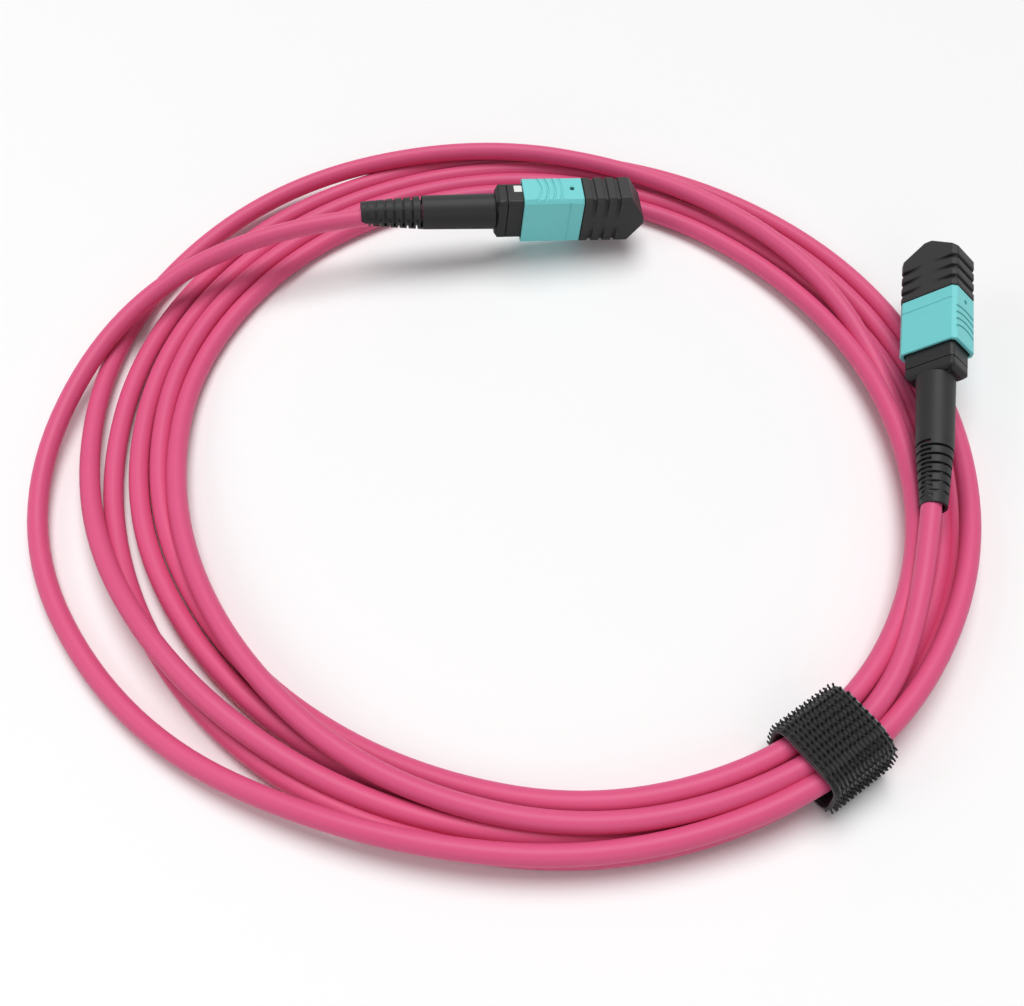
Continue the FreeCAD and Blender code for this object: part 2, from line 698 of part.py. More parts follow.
def cable_route():
    """Points of the cable's route, from inside the first boot to inside the second."""
    diameter = value("cable_diameter")
    long_radius = value("coil_long_radius")
    short_radius = value("coil_short_radius")
    start = math.radians(value("coil_bearing"))
    step = 2 * math.pi / STATIONS_PER_TURN
    # the middle of a run bends inside its points, by this share of the radius
    inset = (3 + math.cos(step)) / 4
    inside = value("boot_length - stem_length - jacket_gap")
    ends = {}
    for end in STRAIGHT_OUT:
        forward = turn_of(end).multVec(Vector(1, 0, 0))
        ends[end] = (tip_of(end) + forward * inside, tip_of(end) - forward * STRAIGHT_OUT[end])
    points = [*ends["first"]]
    station = FIRST_TURN_FROM
    for turn in TURNS:
        for lane, layer in turn:
            angle = station * step
            rim = long_radius * short_radius / math.hypot(
                short_radius * math.cos(angle), long_radius * math.sin(angle))
            radius = (rim + lane * diameter) / inset
            points.append(Vector(radius * math.cos(start + angle), radius * math.sin(start + angle),
                                 (layer + 0.5) * diameter))
            station += 1
    return points + [*reversed(ends["second"])]


def make_cable(label):
    """A round tube along straight runs joined by tangent arcs as large as the runs allow."""
    points = cable_route()
    edges = []
    radii = []
    last = points[0]
    for before, corner, after in zip(points, points[1:], points[2:]):
        back = before - corner
        ahead = after - corner
        reach = ARC_SHARE * min(back.Length, ahead.Length)
        turn = math.pi - back.getAngle(ahead)
        radii.append(reach / math.tan(turn / 2))
        back.normalize()
        ahead.normalize()
        start = corner + back * reach
        end = corner + ahead * reach
        inward = (back + ahead).normalize()
        middle = corner + inward * (math.hypot(reach, radii[-1]) - radii[-1])
        edges.append(Part.LineSegment(last, start).toShape())
        edges.append(Part.Arc(start, middle, end).toShape())
        last = end
    edges.append(Part.LineSegment(last, points[-1]).toShape())
    path = Part.Wire(edges)
    diameter = value("cable_diameter")
    section = Part.Wire([Part.Circle(points[0], points[1] - points[0], diameter / 2).toShape()])
    cable = doc.addObject("Part::Feature", label)
    cable.Label = label
    cable.Shape = path.makePipeShell([section], True, True)
    expected = math.pi * diameter ** 2 / 4 * path.Length
    print(f"cable length {path.Length:.1f}, tightest radius {min(radii):.1f}, "
          f"volume {cable.Shape.Volume / expected:.4f} of section times length")
    print("radii", " ".join(f"{radius:.0f}" for radius in radii))
    return cable


pieces = [make_cable("cable"), make_tie("hook_and_loop_tie")]
for end in STRAIGHT_OUT:
    pieces += make_plug(end)
doc.recompute()

for item in doc.Objects:
    if "Invalid" in item.State or "Error" in item.State:
        raise RuntimeError(f"{item.Name} did not rebuild: {item.State}")
os.makedirs("parts", exist_ok=True)
for piece in pieces:
    shape = piece.Shape
    if shape.isNull() or not shape.isValid() or len(shape.Solids) != 1:
        raise RuntimeError(f"{piece.Label} is not one valid solid")
for piece in pieces:
    piece.Shape.exportStep(f"parts/{piece.Label}.step")
    print(f"{piece.Label}: {piece.Shape.Volume:.2f}")
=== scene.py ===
"""Looks of a coiled multi-fibre patch cable with two push-on plugs and a hook-and-loop tie."""

import logging
import math
from collections.abc import Iterator
from dataclasses import dataclass
from enum import Enum
from typing import ClassVar

import bmesh
import bpy
from mathutils import Matrix, Vector


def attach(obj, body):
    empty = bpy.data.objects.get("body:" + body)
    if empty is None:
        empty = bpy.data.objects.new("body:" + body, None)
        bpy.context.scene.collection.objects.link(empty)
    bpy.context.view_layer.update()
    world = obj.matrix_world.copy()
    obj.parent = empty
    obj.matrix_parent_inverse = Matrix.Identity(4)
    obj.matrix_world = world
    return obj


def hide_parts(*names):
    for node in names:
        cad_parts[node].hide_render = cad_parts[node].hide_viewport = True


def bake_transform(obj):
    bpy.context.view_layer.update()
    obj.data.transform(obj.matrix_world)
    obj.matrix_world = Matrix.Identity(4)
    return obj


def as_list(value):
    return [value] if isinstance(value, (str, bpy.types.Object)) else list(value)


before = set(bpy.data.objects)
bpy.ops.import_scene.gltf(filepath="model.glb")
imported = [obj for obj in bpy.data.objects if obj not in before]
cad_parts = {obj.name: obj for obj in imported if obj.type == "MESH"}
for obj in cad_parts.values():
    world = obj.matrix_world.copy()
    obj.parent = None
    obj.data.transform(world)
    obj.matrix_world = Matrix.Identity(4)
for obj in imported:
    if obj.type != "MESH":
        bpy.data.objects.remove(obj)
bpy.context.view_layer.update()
LOG = logging.getLogger("patch_cable")
MM = 0.001
MERGE_DISTANCE = 0.001 * MM
GRAIN_DETAIL = 3.0
TONE_DETAIL = 5.0
NOISE_ROUGHNESS = 0.55
EDGE_SAMPLES = 6
# a direction that is square to no row of corners or faces
SORT_AXIS = Vector((1.0, 0.618, 0.382))
Colour = tuple[float, float, float, float]


class End(Enum):
    """The two ends of the cable."""

    FIRST = "first"
    SECOND = "second"


# finishes


def socket_default(node: bpy.types.Node, values: dict[str, object]) -> None:
    """Sets inputs of a node, by their names, to the values."""
    for name, number in values.items():
        node.inputs[name].default_value = number


def moulding_grain() -> bpy.types.NodeTree:
    """Builds the group that gives moulded and extruded surfaces their grain and uneven tone.

    Returns:
        A node group with a fine height and a slow tone, both from 0 to 1.
    """
    name = "moulding_grain"
    if name in bpy.data.node_groups:
        return bpy.data.node_groups[name]
    group = bpy.data.node_groups.new(name, "ShaderNodeTree")
    face = group.interface
    for label in ("Grain Scale", "Tone Scale"):
        face.new_socket(label, in_out="INPUT", socket_type="NodeSocketFloat")
    for label in ("Height", "Tone"):
        face.new_socket(label, in_out="OUTPUT", socket_type="NodeSocketFloat")
    nodes, links = group.nodes, group.links
    entry = nodes.new("NodeGroupInput")
    leave = nodes.new("NodeGroupOutput")
    place = nodes.new("ShaderNodeTexCoord")
    for scale, out, detail in (("Grain Scale", "Height", GRAIN_DETAIL), ("Tone Scale", "Tone", TONE_DETAIL)):
        noise = nodes.new("ShaderNodeTexNoise")
        socket_default(noise, {"Detail": detail, "Roughness": NOISE_ROUGHNESS})
        links.new(place.outputs["Object"], noise.inputs["Vector"])
        links.new(entry.outputs[scale], noise.inputs["Scale"])
        links.new(noise.outputs["Fac"], leave.inputs[out])
    return group


@dataclass(frozen=True)
class Finish:
    """A surface of one base colour with grain, uneven tone and gloss.

    The tone moves the colour between base and pale, and the gloss between rough and its rough_swing.
    """

    name: str
    base: Colour
    pale: Colour
    rough: float
    rough_swing: float = 0.1
    metallic: float = 0.0
    specular: float = 0.5
    grain_scale: float = 9000.0
    grain_depth: float = 0.00002
    tone_scale: float = 120.0
    edge_radius: float = 0.0
    sheen: float = 0.0

    def shader(self, material: bpy.types.Material) -> bpy.types.Node:
        """Sets the constant values of the material's shader.

        Args:
            material: the material being made.

        Returns:
            The Principled node.
        """
        shader = material.node_tree.nodes["Principled BSDF"]
        socket_default(shader, {
            "Base Color": self.base, "Roughness": self.rough, "Metallic": self.metallic,
            "Specular IOR Level": self.specular, "Sheen Weight": self.sheen,
        })
        return shader

    def material(self) -> bpy.types.Material:
        """Makes the material, once.

        Returns:
            The material of this finish.
        """
        if self.name in bpy.data.materials:
            return bpy.data.materials[self.name]
        material = bpy.data.materials.new(self.name)
        material.use_nodes = True
        nodes, links = material.node_tree.nodes, material.node_tree.links
        shader = self.shader(material)
        grain = nodes.new("ShaderNodeGroup")
        grain.node_tree = moulding_grain()
        socket_default(grain, {"Grain Scale": self.grain_scale, "Tone Scale": self.tone_scale})
        links.new(self.colour(material, grain.outputs["Tone"]), shader.inputs["Base Color"])
        gloss = nodes.new("ShaderNodeMapRange")
        socket_default(gloss, {"To Min": self.rough - self.rough_swing / 2,
                               "To Max": self.rough + self.rough_swing / 2})
        links.new(grain.outputs["Tone"], gloss.inputs["Value"])
        links.new(gloss.outputs["Result"], shader.inputs["Roughness"])
        bump = nodes.new("ShaderNodeBump")
        socket_default(bump, {"Distance": self.grain_depth, "Strength": 1.0})
        links.new(self.height(material, grain.outputs["Height"]), bump.inputs["Height"])
        if self.edge_radius:
            edge = nodes.new("ShaderNodeBevel")
            edge.samples = EDGE_SAMPLES
            socket_default(edge, {"Radius": self.edge_radius})
            links.new(edge.outputs["Normal"], bump.inputs["Normal"])
        links.new(bump.outputs["Normal"], shader.inputs["Normal"])
        return material

    def colour(self, material: bpy.types.Material, tone: bpy.types.NodeSocket) -> bpy.types.NodeSocket:
        """Mixes the two colours of the finish by the tone.

        Args:
            material: the material being made.
            tone: the slow tone, from 0 to 1.

        Returns:
            The socket that holds the colour.
        """
        mix = material.node_tree.nodes.new("ShaderNodeMix")
        mix.data_type = "RGBA"
        colours = [s for s in mix.inputs if s.type == "RGBA"]
        colours[0].default_value = self.base
        colours[1].default_value = self.pale
        material.node_tree.links.new(tone, mix.inputs["Factor"])
        return next(s for s in mix.outputs if s.type == "RGBA")

    def height(self, material: bpy.types.Material, grain: bpy.types.NodeSocket) -> bpy.types.NodeSocket:
        """The height that the bump reads, which is the plain grain here."""
        return grain


@dataclass(frozen=True)
class StrapFinish(Finish):
    """Woven nylon with ribs along the strap and a painted highlight along its far edge, read from the strap's
    own attribute.
    """

    ribs: float = 16.0
    # a lighter colour painted along the strap's far edge as a highlight, and the place across the strap where
    # it starts
    far_edge_highlight_colour: Colour = (0.24, 0.24, 0.25, 1)
    far_edge_highlight_from: float = 0.485

    def across(self, material: bpy.types.Material) -> bpy.types.NodeSocket:
        """Reads the place across the strap, from -0.5 to 0.5.

        Args:
            material: the material being made.

        Returns:
            The socket that holds the place.
        """
        read = material.node_tree.nodes.new("ShaderNodeAttribute")
        read.attribute_name = "across"
        return read.outputs["Fac"]

    def colour(self, material: bpy.types.Material, tone: bpy.types.NodeSocket) -> bpy.types.NodeSocket:
        """Adds a painted highlight, a lighter strip along the strap's far edge, to the mixed colour.

        Args:
            material: the material being made.
            tone: the slow tone, from 0 to 1.

        Returns:
            The socket that holds the colour.
        """
        cloth = super().colour(material, tone)
        nodes, links = material.node_tree.nodes, material.node_tree.links
        # painted highlight: the strip along the far edge is coloured lighter, as if light caught that edge
        far_edge_highlight = nodes.new("ShaderNodeMath")
        far_edge_highlight.operation = "GREATER_THAN"
        far_edge_highlight.inputs[1].default_value = self.far_edge_highlight_from
        links.new(self.across(material), far_edge_highlight.inputs[0])
        mix = nodes.new("ShaderNodeMix")
        mix.data_type = "RGBA"
        colours = [s for s in mix.inputs if s.type == "RGBA"]
        links.new(far_edge_highlight.outputs["Value"], mix.inputs["Factor"])
        links.new(cloth, colours[0])
        colours[1].default_value = self.far_edge_highlight_colour
        return next(s for s in mix.outputs if s.type == "RGBA")

    def height(self, material: bpy.types.Material, grain: bpy.types.NodeSocket) -> bpy.types.NodeSocket:
        """Adds ribs along the strap to the grain.

        Args:
            material: the material being made.
            grain: the height of the grain.

        Returns:
            The socket that holds the height.
        """
        nodes, links = material.node_tree.nodes, material.node_tree.links
        wave = nodes.new("ShaderNodeMath")
        wave.operation = "MULTIPLY"
        wave.inputs[1].default_value = self.ribs * 2 * math.pi
        links.new(self.across(material), wave.inputs[0])
        rib = nodes.new("ShaderNodeMath")
        rib.operation = "COSINE"
        links.new(wave.outputs["Value"], rib.inputs[0])
        both = nodes.new("ShaderNodeMath")
        both.operation = "ADD"
        links.new(rib.outputs["Value"], both.inputs[0])
        links.new(grain, both.inputs[1])
        return both.outputs["Value"]


JACKET = Finish("jacket_pink", (0.68, 0.085, 0.212, 1), (0.73, 0.102, 0.238, 1), 0.42, 0.08,
                grain_scale=2500, grain_depth=0.00001, tone_scale=45, specular=0.25)
STRAP = StrapFinish("strap_black", (0.008, 0.008, 0.009, 1), (0.02, 0.02, 0.021, 1), 0.8, 0.2,
                    grain_scale=2600, grain_depth=0.00012, tone_scale=1500, specular=0.3, sheen=0.25)
HOOKS = Finish("hook_nylon", (0.010, 0.010, 0.011, 1), (0.022, 0.022, 0.023, 1), 0.55, 0.2,
               tone_scale=900, specular=0.4)
BOOT = Finish("boot_rubber", (0.016, 0.016, 0.017, 1), (0.024, 0.024, 0.026, 1), 0.5, 0.12,
              grain_scale=6000, grain_depth=0.00001, edge_radius=0.00012, specular=0.25)
BODY = Finish("body_black", (0.014, 0.014, 0.015, 1), (0.022, 0.022, 0.023, 1), 0.36, 0.12,
              grain_depth=0.000006, edge_radius=0.0002, specular=0.25)
SLEEVE = Finish("sleeve_aqua", (0.168, 0.625, 0.635, 1), (0.195, 0.665, 0.675, 1), 0.42, 0.1,
                grain_scale=7000, grain_depth=0.000006, edge_radius=0.0003, specular=0.3)
CAP = Finish("cap_grey", (0.024, 0.023, 0.023, 1), (0.034, 0.033, 0.033, 1), 0.48, 0.14,
             grain_scale=5000, grain_depth=0.00001, edge_radius=0.0003, specular=0.25)
MARK = Finish("mark_white", (0.75, 0.75, 0.74, 1), (0.82, 0.82, 0.81, 1), 0.5)
PLATING = Finish("crimp_plating", (0.72, 0.69, 0.63, 1), (0.80, 0.78, 0.73, 1), 0.28, 0.15, metallic=1.0)
STEEL = Finish("spring_wire", (0.60, 0.60, 0.62, 1), (0.70, 0.70, 0.72, 1), 0.3, 0.15, metallic=1.0)
YARN = Finish("aramid_yarn", (0.72, 0.52, 0.09, 1), (0.82, 0.66, 0.2, 1), 0.75, grain_scale=4000,
              grain_depth=0.00008, tone_scale=2500)
FERRULE = Finish("ferrule_polymer", (0.07, 0.07, 0.075, 1), (0.11, 0.11, 0.115, 1), 0.35)
SOFT = Finish("soft_boot", (0.09, 0.09, 0.09, 1), (0.13, 0.13, 0.13, 1), 0.65)
RIBBON = Finish("ribbon_coating", (0.27, 0.53, 0.72, 1), (0.36, 0.62, 0.8, 1), 0.4)
FLOOR = Finish("pale_floor", (0.93, 0.93, 0.93, 1), (0.95, 0.95, 0.95, 1), 0.85, 0.05, grain_scale=400,
               grain_depth=0.00002, tone_scale=3, specular=0.1)

NODE_FINISHES: dict[str, Finish] = {
    "strain_relief_boot": BOOT, "crimp_ring": PLATING, "yarn_sleeve": YARN, "back_post": BODY,
    "inner_housing": BODY, "coupling_spring_left": STEEL, "coupling_spring_right": STEEL,
    "coupling_sleeve": SLEEVE, "ferrule_spring": STEEL, "ferrule_spacer": STEEL, "ferrule": FERRULE,
    "ribbon_sleeve": SOFT, "fibre_ribbon": RIBBON, "dust_cap": CAP,
}


# shared mesh work


def new_piece(name: str, mesh: bmesh.types.BMesh, finish: Finish, sharp: float = 35.0) -> bpy.types.Object:
    """Turns a finished bmesh into an object of the scene.

    Args:
        name: the piece's name.
        mesh: the bmesh, which is freed.
        finish: the finish of all its faces.
        sharp: the angle in degrees above which an edge stays sharp.

    Returns:
        The new object, at the origin.
    """
    data = bpy.data.meshes.new(name)
    mesh.to_mesh(data)
    mesh.free()
    data.shade_smooth()
    data.set_sharp_from_angle(angle=math.radians(sharp))
    data.materials.append(finish.material())
    piece = bpy.data.objects.new(name, data)
    bpy.context.scene.collection.objects.link(piece)
    LOG.info("%s: %d faces", name, len(data.polygons))
    return piece


def dress(node: str, finish: Finish) -> bpy.types.Object:
    """Gives a solid of the frame its finish.

    Args:
        node: the solid's name.
        finish: the finish of all its faces.

    Returns:
        The solid's object.
    """
    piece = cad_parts[node]
    if piece.material_slots:
        piece.material_slots[0].material = finish.material()
    else:
        piece.data.materials.append(finish.material())
    LOG.info("%s: %s", node, finish.name)
    return piece


def solid_copy(node: str) -> bmesh.types.BMesh:
    """Copies a solid of the frame and merges its doubled corners.

    Args:
        node: the solid's name.

    Returns:
        The copy, free to be changed.
    """
    mesh = bmesh.new()
    mesh.from_mesh(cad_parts[node].data)
    bmesh.ops.remove_doubles(mesh, verts=mesh.verts, dist=MERGE_DISTANCE)
    return mesh


def extend(mesh: bmesh.types.BMesh, edges: list[bmesh.types.BMEdge],
           step: Vector) -> list[bmesh.types.BMEdge]:
    """Extrudes a row or ring of edges by one step.

    Args:
        mesh: the bmesh that holds the edges.
        edges: the edges to extrude.
        step: the length and direction of the step.

    Returns:
        The edges of the new row or ring.
    """
    grown = bmesh.ops.extrude_edge_only(mesh, edges=edges)["geom"]
    verts = [item for item in grown if isinstance(item, bmesh.types.BMVert)]
    bmesh.ops.translate(mesh, verts=verts, vec=step)
    return [item for item in grown if isinstance(item, bmesh.types.BMEdge)
            and all(vert in verts for vert in item.verts)]


def settle_order(mesh: bmesh.types.BMesh) -> None:
    """Sorts the corners, edges and faces of a mesh by their places, so that each run gives the same order.

    Args:
        mesh: the bmesh to sort.
    """
    mesh.verts.sort(key=lambda vert: vert.co.dot(SORT_AXIS))
    mesh.edges.sort(key=lambda edge: (edge.verts[0].co + edge.verts[1].co).dot(SORT_AXIS))
    mesh.faces.sort(key=lambda face: face.calc_center_median().dot(SORT_AXIS))


# sub-assemblies


@dataclass
class PlugPose:
    """Where the tip of a plug's boot lies, and how the plug points, in degrees."""

    tip: Vector
    yaw: float
    tilt: float
    roll: float

    def turn(self) -> Matrix:
        """Works out how the plug's own frame is turned.

        Returns:
            The rotation, which rolls, tilts and then yaws.
        """
        yaw = Matrix.Rotation(math.radians(self.yaw), 3, "Z")
        tilt = Matrix.Rotation(math.radians(-self.tilt), 3, "Y")
        return yaw @ tilt @ Matrix.Rotation(math.radians(self.roll), 3, "X")

    def forward(self) -> Vector:
        """The direction out of the plug."""
        return self.turn() @ Vector((1, 0, 0))

    def place(self, boot_length: float) -> Matrix:
        """The plug's frame, with its origin on the rear face of the flange, where the boot's length ends."""
        return Matrix.Translation(self.tip + self.forward() * boot_length) @ self.turn().to_4x4()


POSES: dict[End, PlugPose] = {
    End.FIRST: PlugPose(Vector((-37.5, 54.5, 13.6)) * MM, 6.7, -4.6, 92.9),
    End.SECOND: PlugPose(Vector((71.4, -18.4, 9.4)) * MM, 80.2, 5.8, -44.4),
}


@dataclass
class CoiledCable:
    """The round cable, wound anticlockwise from the first plug to the second through the tie.

    Each row of turns is one turn, counted from the tie, with a pair for each twelfth of a turn: how many
    diameters the middle of the cable lies outside the rim of the coil, and how many above the surface.
    """

    diameter: float = 3.8 * MM
    length: float = 2.82
    long_radius: float = 72.4 * MM
    short_radius: float = 66.8 * MM
    coil_bearing: float = 309
    stations_per_turn: int = 12
    first_station: int = 7
    inside_boot: float = 18.6 * MM
    straight_out: tuple[float, float] = (14 * MM, 16 * MM)
    steps_between_points: int = 14
    steps_round_half: int = 7
    turns: tuple[tuple[tuple[float, float], ...], ...] = (
        ((5.45, 1.2), (7.7, 0), (6.2, 0), (3.75, 0.9), (2.9, 0.9)),
        ((2.95, 1.4), (2.85, 0.95), (3.4, 0.35), (4.15, 0), (4.15, 0), (3.95, 0),
         (3.8, 0), (3.7, 0), (3.6, 0), (3.6, 0), (3.2, 0), (2.85, 0)),
        ((2.65, 0.45), (2.65, 0), (2.6, 0), (3.05, 0), (3.15, 0), (3, 0),
         (2.65, 0), (2.6, 0), (2.35, 0), (1.8, 0), (1.4, 0), (1.15, 0)),
        ((0.8, 0.45), (0.85, 0), (0.75, 0.1), (1.75, 1.25), (2.65, 1), (3.65, 1.15),
         (5.3, 0.4), (5.5, 0), (4.65, 0.4), (3.4, 1.35), (2.4, 0.4), (2, 0.2)),
        ((1.72, 0.45), (1.8, 0), (1.75, 0), (1.75, 0), (2.15, 0), (2.05, 0),
         (1.65, 0), (1.55, 0.3), (1.3, 0), (0.75, 0), (0.35, 0.1), (0.85, 0.9)),
        ((1.05, 1.35), (0.4, 0.85), (0.15, 0.8), (0.5, 0.2), (1.1, 0), (1.1, 0),
         (0.6, 0), (0.55, 0), (0.3, 0.6), (0.7, 1.1), (1.5, 1.15), (1.85, 1)),
        ((2.1, 1.5),),
    )

    def coil_points(self) -> Iterator[Vector]:
        """Works out the points of the turns.

        Yields:
            One control point after the other, pushed out so that the smooth curve runs in its lane.
        """
        step = 2 * math.pi / self.stations_per_turn
        # the share of a control point's radius at which a smooth curve of order 3 passes it
        inset = (3 + math.cos(step)) / 4
        start = math.radians(self.coil_bearing)
        lanes = [pair for turn in self.turns for pair in turn]
        for station, (lane, layer) in enumerate(lanes, start=self.first_station):
            angle = station * step
            rim = self.long_radius * self.short_radius / math.hypot(
                self.short_radius * math.cos(angle), self.long_radius * math.sin(angle))
            radius = (rim + lane * self.diameter) / inset
            height = (layer + 0.5) * self.diameter
            yield Vector((radius * math.cos(start + angle), radius * math.sin(start + angle), height))

    def route(self) -> list[Vector]:
        """Joins the turns to the two plugs.

        Returns:
            The control points from inside the first boot to inside the second.
        """
        first, second = (POSES[end] for end in End)
        out_first, out_second = self.straight_out
        return [
            first.tip + first.forward() * self.inside_boot, first.tip - first.forward() * out_first,
            *self.coil_points(),
            second.tip - second.forward() * out_second, second.tip + second.forward() * self.inside_boot,
        ]

    def build(self, carried: list[bpy.types.Object]) -> bpy.types.Object:
        """Args:
            carried: the pieces on the cable's far end.

        Returns:
            The cable's object.
        """
        points = self.route()
        curve = bpy.data.curves.new("cable_jacket", "CURVE")
        curve.dimensions = "3D"
        line = curve.splines.new("NURBS")
        line.points.add(len(points) - 1)
        for control, point in zip(line.points, points):
            control.co = (*point, 1)
        line.order_u = 3
        line.use_endpoint_u = True
        curve.resolution_u = self.steps_between_points
        line.resolution_u = self.steps_between_points
        curve.bevel_depth = self.diameter / 2
        curve.bevel_resolution = self.steps_round_half
        curve.use_fill_caps = True
        curve.materials.append(JACKET.material())
        piece = bpy.data.objects.new("cable_jacket", curve)
        bpy.context.scene.collection.objects.link(piece)
        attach(piece, "root")
        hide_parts("cable")
        tuple(POSES[End.FIRST].tip)
        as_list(carried)
        LOG.info("cable_jacket: %d control points", len(points))
        return piece


@dataclass
class HookTie:
    """The hook-and-loop tie: a strap wound round the turns, with hooks on its outer face.

    Its middle lies at a reach and a bearing from the middle of the coil. The outer end climbs by lap_rise
    strap thicknesses, hook_depth and hook_taper are ratios, and faces that look down more than hook_lowest
    are bare.
    """

    reach: float = 79.25 * MM
    bearing: float = 306.5
    middle_height: float = 5.3 * MM
    inner_width: float = 13.4 * MM
    inner_height: float = 8.4 * MM
    inner_corner: float = 2.2 * MM
    strap_width: float = 13.5 * MM
    thickness: float = 0.6 * MM
    overlap: float = 9 * MM
    lap_rise: float = 1.15
    columns: int = 15
    corner_steps: int = 6
    hook_pitch: float = 0.7 * MM
    hook_rise: float = 0.5 * MM
    hook_bend: float = 0.18 * MM
    hook_thickness: float = 0.15 * MM
    hook_depth: float = 1.8
    hook_sides: int = 5
    hook_turn: float = 150.0
    hook_steps: int = 4
    hook_taper: float = 0.5
    hook_lowest: float = -0.8
    strap_sharp: float = 60.0
    hook_sharp: float = 80.0

    def place(self) -> Matrix:
        """Places the tie on the turns.

        Returns:
            The tie's frame: X along the cable, Y towards the middle of the coil, Z up.
        """
        bearing = math.radians(self.bearing)
        middle = Vector((self.reach * math.cos(bearing), self.reach * math.sin(bearing), self.middle_height))
        return Matrix.Translation(middle) @ Matrix.Rotation(bearing + math.pi / 2, 4, "Z")

    def first_row(self, mesh: bmesh.types.BMesh, start: Vector) -> list[bmesh.types.BMEdge]:
        """Lays the strap's inner end, with the place across the strap in the attribute "across".

        Args:
            mesh: the bmesh to lay it in.
            start: the middle of that end.

        Returns:
            The edges of the end.
        """
        layer = mesh.verts.layers.float.new("across")
        row = []
        for column in range(self.columns + 1):
            share = column / self.columns - 0.5
            vert = mesh.verts.new(start + Vector((share * self.strap_width, 0, 0)))
            vert[layer] = share
            row.append(vert)
        return [mesh.edges.new(pair) for pair in zip(row, row[1:])]

    def straight(self, mesh: bmesh.types.BMesh, edges: list[bmesh.types.BMEdge], run: Vector,
                 rise: float) -> list[bmesh.types.BMEdge]:
        """Lays a straight stretch of the strap, in steps of the hooks' pitch.

        Args:
            mesh: the bmesh of the strap.
            edges: the strap's end so far.
            run: the length and direction of the stretch.
            rise: how far the first step climbs, where the strap laps over itself.

        Returns:
            The edges of the new end.
        """
        steps = max(2, round(run.length / self.hook_pitch))
        for step in range(steps):
            climb = Vector((0, 0, 0 if step else rise))
            edges = extend(mesh, edges, run / steps + climb)
        return edges

    def wind(self) -> bmesh.types.BMesh:
        """Winds the strap's middle layer from its inner end to its outer one.

        Returns:
            A strip of faces, one row after the other.
        """
        mesh = bmesh.new()
        half = self.thickness / 2
        corner = self.inner_corner + half
        flat = self.inner_width - 2 * self.inner_corner
        wall = self.inner_height - 2 * self.inner_corner
        end_run = (flat + self.overlap) / 2
        place = Vector((0, -self.overlap / 2, self.inner_height / 2 + half))
        ahead = Vector((0, 1, 0))
        edges = self.first_row(mesh, place)
        for run in (end_run, wall, flat, wall):
            edges = self.straight(mesh, edges, ahead * run, 0)
            inward = Vector((0, ahead.z, -ahead.y))
            turned = bmesh.ops.spin(
                mesh, geom=edges, cent=place + ahead * run + inward * corner, axis=(1, 0, 0),
                angle=-math.pi / 2, steps=self.corner_steps, use_duplicate=False)["geom_last"]
            edges = [item for item in turned if isinstance(item, bmesh.types.BMEdge)]
            place += ahead * run + (ahead + inward) * corner
            ahead = inward
        self.straight(mesh, edges, ahead * end_run, self.thickness * self.lap_rise)
        bmesh.ops.recalc_face_normals(mesh, faces=mesh.faces)
        return mesh

    def hook(self) -> bpy.types.Mesh:
        """Makes one hook of the strap: a stem that bends over and tapers.

        Returns:
            The hook's mesh, standing on the origin.
        """
        mesh = bmesh.new()
        ring = bmesh.ops.create_circle(mesh, cap_ends=False, segments=self.hook_sides,
                                       radius=self.hook_thickness)["verts"]
        bmesh.ops.scale(mesh, verts=ring, vec=(self.hook_depth, 1, 1))
        edges = extend(mesh, list(mesh.edges), Vector((0, 0, self.hook_rise)))
        bent = bmesh.ops.spin(
            mesh, geom=edges, cent=(self.hook_bend, 0, self.hook_rise), axis=(0, 1, 0),
            angle=math.radians(self.hook_turn), steps=self.hook_steps, use_duplicate=False)["geom_last"]
        tip = [item for item in bent if isinstance(item, bmesh.types.BMVert)]
        middle = sum((vert.co for vert in tip), Vector()) / len(tip)
        bmesh.ops.scale(mesh, verts=tip, vec=(self.hook_taper,) * 3, space=Matrix.Translation(-middle))
        bmesh.ops.contextual_create(mesh, geom=tip)
        bmesh.ops.recalc_face_normals(mesh, faces=mesh.faces)
        data = bpy.data.meshes.new("hook")
        mesh.to_mesh(data)
        mesh.free()
        return data

    def hook_places(self, strip: bmesh.types.BMesh) -> Iterator[Matrix]:
        """Finds where the hooks stand: on every second row of the outer face, clear of the surface below.

        Args:
            strip: the wound strap.

        Yields:
            The frame of one hook, with Z away from the strap.
        """
        for number, face in enumerate(strip.faces):
            if number // self.columns % 2:
                continue
            out = face.normal
            middle = face.calc_center_median()
            column = round((middle.x / self.strap_width + 0.5) * self.columns - 0.5)
            if out.dot(Vector((0, middle.y, middle.z))) < 0:
                out = -out
            lap_height = self.inner_height / 2 + self.thickness
            lapped = abs(middle.y) < self.overlap / 2 and abs(middle.z) < lap_height
            if out.z < self.hook_lowest or lapped:
                continue
            way = out.cross(Vector((1, 0, 0))) * (1 if column % 2 else -1)
            side = out.cross(way)
            turn = Matrix((way, side, out)).transposed().to_4x4()
            yield Matrix.Translation(middle + out * (self.thickness / 2)) @ turn

    def build(self, cable: bpy.types.Object) -> list[bpy.types.Object]:
        """Args:
            cable: the cable that the strap is wound round; not used.

        Returns:
            The strap and the hooks.
        """
        strip = self.wind()
        hook = self.hook()
        brush = bmesh.new()
        for place in self.hook_places(strip):
            first = len(brush.verts)
            brush.from_mesh(hook)
            brush.verts.ensure_lookup_table()
            bmesh.ops.transform(brush, matrix=self.place() @ place, verts=brush.verts[first:])
        bpy.data.meshes.remove(hook)
        bmesh.ops.transform(strip, matrix=self.place(), verts=strip.verts)
        for mesh in (strip, brush):
            settle_order(mesh)
        strap = new_piece("tie_strap", strip, STRAP, sharp=self.strap_sharp)
        wall = strap.modifiers.new("wall", "SOLIDIFY")
        wall.thickness = self.thickness
        wall.offset = 0
        hooks = new_piece("tie_hooks", brush, HOOKS, sharp=self.hook_sharp)
        for piece in (strap, hooks):
            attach(piece, "root")
        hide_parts("hook_and_loop_tie")
        return [strap, hooks]


